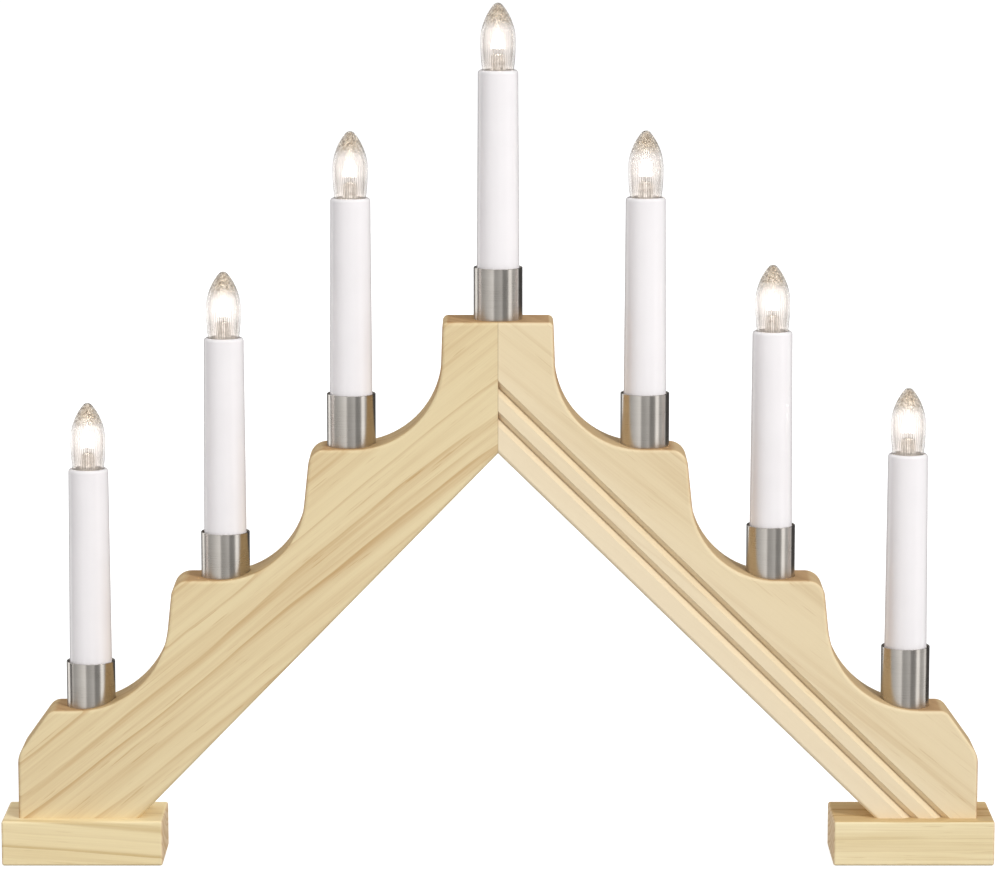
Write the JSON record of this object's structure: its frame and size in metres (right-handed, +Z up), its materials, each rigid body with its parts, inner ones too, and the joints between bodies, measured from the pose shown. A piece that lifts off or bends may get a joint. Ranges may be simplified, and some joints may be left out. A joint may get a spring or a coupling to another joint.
{
  "type": "candle arch",
  "caption": "Stepped wooden candle arch on two foot blocks, with electric candles in metal cups and screw-in ribbed flame bulbs wired in series.",
  "frame": {"origin": "on the table, under the middle of the arch", "axes": "+X along the arch to the viewer's right, +Y from the front to the back, +Z up"},
  "size_m": [0.456, 0.04, 0.3944],
  "materials": {
    "pine": "planed, clear matt lacquer",
    "dowel_beech": "plain",
    "screw_steel": "zinc plated",
    "bush_plastic": "matt",
    "clip_plastic": "matt",
    "wire_insulation": "matt",
    "holder_brass": "plain",
    "cup_steel": "satin",
    "sleeve_plastic": "satin",
    "holder_plastic": "matt",
    "bulb_glass": "clear, ribbed",
    "cap_brass": "plain",
    "tip_solder": "solder",
    "filament": "glass stem with leads"
  },
  "bodies": {
    "frame": {"left_arm": "pine", "right_arm": "pine", "left_foot": "pine", "right_foot": "pine", "mitre_dowels": "dowel_beech", "foot_screws": "screw_steel", "cord_inlet_bush": "bush_plastic", "wire_clips": "clip_plastic", "series_wires": "wire_insulation", "holder_screw_shells": "holder_brass", "holder_contacts": "holder_brass", "candle_1_cup": "cup_steel", "candle_1_sleeve": "sleeve_plastic", "candle_1_lampholder": "holder_plastic", "candle_2_cup": "cup_steel", "candle_2_sleeve": "sleeve_plastic", "candle_2_lampholder": "holder_plastic", "candle_3_cup": "cup_steel", "candle_3_sleeve": "sleeve_plastic", "candle_3_lampholder": "holder_plastic", "candle_4_cup": "cup_steel", "candle_4_sleeve": "sleeve_plastic", "candle_4_lampholder": "holder_plastic", "candle_5_cup": "cup_steel", "candle_5_sleeve": "sleeve_plastic", "candle_5_lampholder": "holder_plastic", "candle_6_cup": "cup_steel", "candle_6_sleeve": "sleeve_plastic", "candle_6_lampholder": "holder_plastic", "candle_7_cup": "cup_steel", "candle_7_sleeve": "sleeve_plastic", "candle_7_lampholder": "holder_plastic"},
    "bulb_1_tip": {"bulb_1_contact": "tip_solder"},
    "bulb_1": {"bulb_1_glass": "bulb_glass", "bulb_1_cap": "cap_brass", "bulb_1_filament": "filament"},
    "bulb_2_tip": {"bulb_2_contact": "tip_solder"},
    "bulb_2": {"bulb_2_glass": "bulb_glass", "bulb_2_cap": "cap_brass", "bulb_2_filament": "filament"},
    "bulb_3_tip": {"bulb_3_contact": "tip_solder"},
    "bulb_3": {"bulb_3_glass": "bulb_glass", "bulb_3_cap": "cap_brass", "bulb_3_filament": "filament"},
    "bulb_4_tip": {"bulb_4_contact": "tip_solder"},
    "bulb_4": {"bulb_4_glass": "bulb_glass", "bulb_4_cap": "cap_brass", "bulb_4_filament": "filament"},
    "bulb_5_tip": {"bulb_5_contact": "tip_solder"},
    "bulb_5": {"bulb_5_glass": "bulb_glass", "bulb_5_cap": "cap_brass", "bulb_5_filament": "filament"},
    "bulb_6_tip": {"bulb_6_contact": "tip_solder"},
    "bulb_6": {"bulb_6_glass": "bulb_glass", "bulb_6_cap": "cap_brass", "bulb_6_filament": "filament"},
    "bulb_7_tip": {"bulb_7_contact": "tip_solder"},
    "bulb_7": {"bulb_7_glass": "bulb_glass", "bulb_7_cap": "cap_brass", "bulb_7_filament": "filament"}
  },
  "joints": [
    {"name": "bulb_1_lift", "type": "slide", "parent": "frame", "child": "bulb_1_tip", "axis": [0, 0, 1], "range_m": [0, 0.00726]},
    {"name": "bulb_1_turn", "type": "hinge", "parent": "bulb_1_tip", "child": "bulb_1", "pos_m": [-0.1875, 0, 0.1819], "axis": [0, 0, 1], "range_deg": [0, 1440.5]},
    {"name": "bulb_2_lift", "type": "slide", "parent": "frame", "child": "bulb_2_tip", "axis": [0, 0, 1], "range_m": [0, 0.00726]},
    {"name": "bulb_2_turn", "type": "hinge", "parent": "bulb_2_tip", "child": "bulb_2", "pos_m": [-0.125, 0, 0.2423], "axis": [0, 0, 1], "range_deg": [0, 1440.5]},
    {"name": "bulb_3_lift", "type": "slide", "parent": "frame", "child": "bulb_3_tip", "axis": [0, 0, 1], "range_m": [0, 0.00726]},
    {"name": "bulb_3_turn", "type": "hinge", "parent": "bulb_3_tip", "child": "bulb_3", "pos_m": [-0.067, 0, 0.3062], "axis": [0, 0, 1], "range_deg": [0, 1440.5]},
    {"name": "bulb_4_lift", "type": "slide", "parent": "frame", "child": "bulb_4_tip", "axis": [0, 0, 1], "range_m": [0, 0.00726]},
    {"name": "bulb_4_turn", "type": "hinge", "parent": "bulb_4_tip", "child": "bulb_4", "pos_m": [0, 0, 0.3642], "axis": [0, 0, 1], "range_deg": [0, 1440.5]},
    {"name": "bulb_5_lift", "type": "slide", "parent": "frame", "child": "bulb_5_tip", "axis": [0, 0, 1], "range_m": [0, 0.00726]},
    {"name": "bulb_5_turn", "type": "hinge", "parent": "bulb_5_tip", "child": "bulb_5", "pos_m": [0.067, 0, 0.3065], "axis": [0, 0, 1], "range_deg": [0, 1440.5]},
    {"name": "bulb_6_lift", "type": "slide", "parent": "frame", "child": "bulb_6_tip", "axis": [0, 0, 1], "range_m": [0, 0.00726]},
    {"name": "bulb_6_turn", "type": "hinge", "parent": "bulb_6_tip", "child": "bulb_6", "pos_m": [0.125, 0, 0.2454], "axis": [0, 0, 1], "range_deg": [0, 1440.5]},
    {"name": "bulb_7_lift", "type": "slide", "parent": "frame", "child": "bulb_7_tip", "axis": [0, 0, 1], "range_m": [0, 0.00726]},
    {"name": "bulb_7_turn", "type": "hinge", "parent": "bulb_7_tip", "child": "bulb_7", "pos_m": [0.1875, 0, 0.1888], "axis": [0, 0, 1], "range_deg": [0, 1440.5]}
  ],
  "couplings": [
    {"joint": "bulb_1_turn", "follows": "bulb_1_lift", "rad_per_m": 3463.7},
    {"joint": "bulb_2_turn", "follows": "bulb_2_lift", "rad_per_m": 3463.7},
    {"joint": "bulb_3_turn", "follows": "bulb_3_lift", "rad_per_m": 3463.7},
    {"joint": "bulb_4_turn", "follows": "bulb_4_lift", "rad_per_m": 3463.7},
    {"joint": "bulb_5_turn", "follows": "bulb_5_lift", "rad_per_m": 3463.7},
    {"joint": "bulb_6_turn", "follows": "bulb_6_lift", "rad_per_m": 3463.7},
    {"joint": "bulb_7_turn", "follows": "bulb_7_lift", "rad_per_m": 3463.7}
  ]
}
